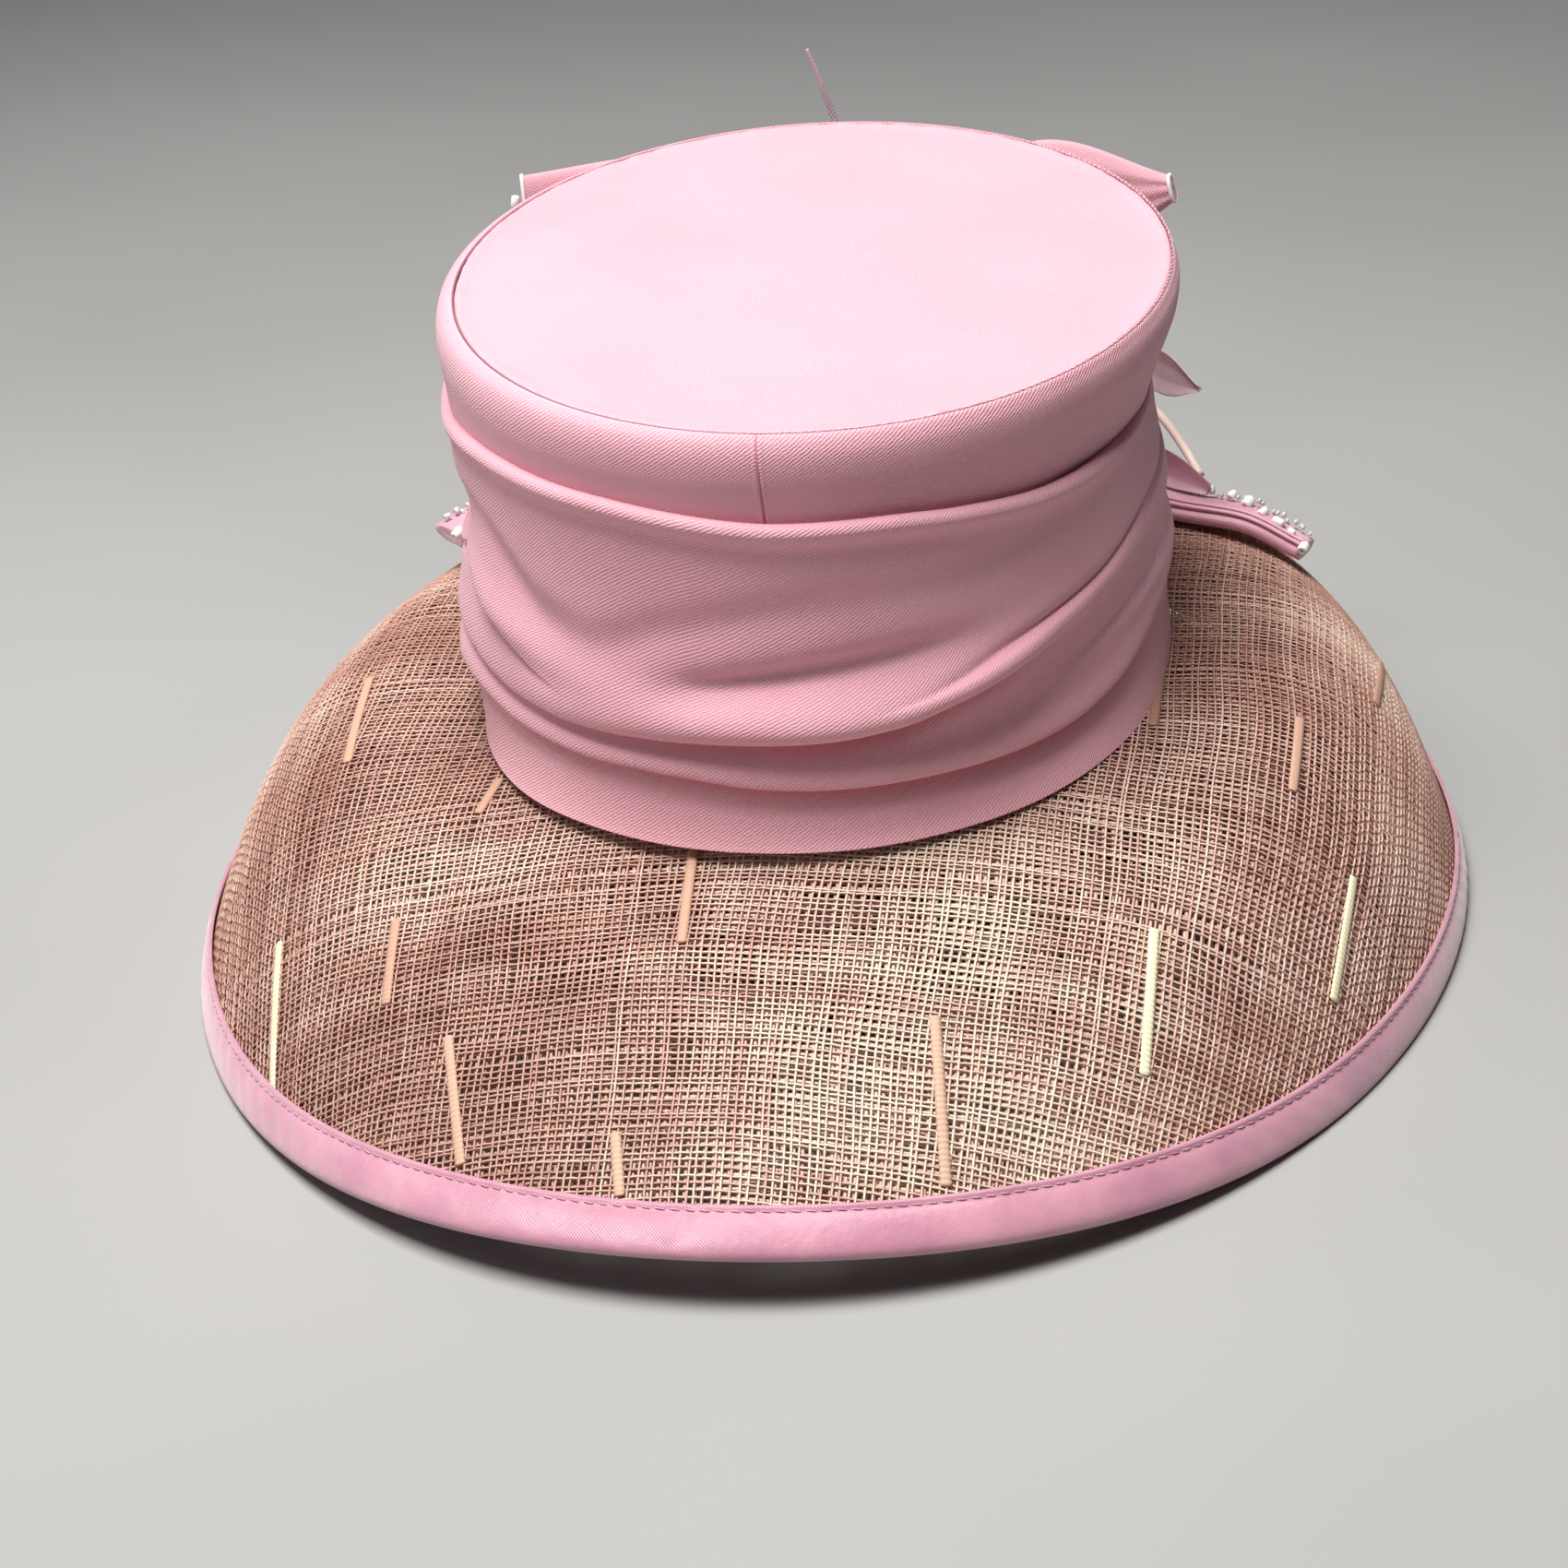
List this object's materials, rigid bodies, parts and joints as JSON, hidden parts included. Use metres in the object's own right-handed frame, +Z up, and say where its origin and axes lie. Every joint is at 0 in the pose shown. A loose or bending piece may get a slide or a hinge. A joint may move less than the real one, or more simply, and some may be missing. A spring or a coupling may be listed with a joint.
{
  "type": "wide brim hat",
  "caption": "Dusty pink occasion hat: flat oval crown with a pleated crepe swathe, turned-down open-weave straw brim with satin binding, and a front bow with quill and leaf.",
  "frame": {"origin": "on the resting surface, under the middle of the rim's outline", "axes": "+Z up through the crown, +Y towards the front with the bow, +X towards the wearer's right"},
  "size_m": [0.3394, 0.406, 0.1996],
  "materials": {
    "crepe": "matte twill crepe",
    "straw": "open-weave straw cloth",
    "satin": "satin",
    "feather": "matte",
    "rouleau": "satin cord"
  },
  "bodies": {
    "root": {"crown_tip": "crepe", "crown_side": "crepe", "drape": "crepe", "brim": "straw", "brim_binding": "satin", "bow_knot": "crepe", "bow_loop_left": "crepe", "bow_loop_right": "crepe", "bow_tail_left": "crepe", "bow_tail_right": "crepe", "petal": "feather", "leaf": "crepe", "stem": "rouleau", "quill": "feather"}
  },
  "joints": []
}
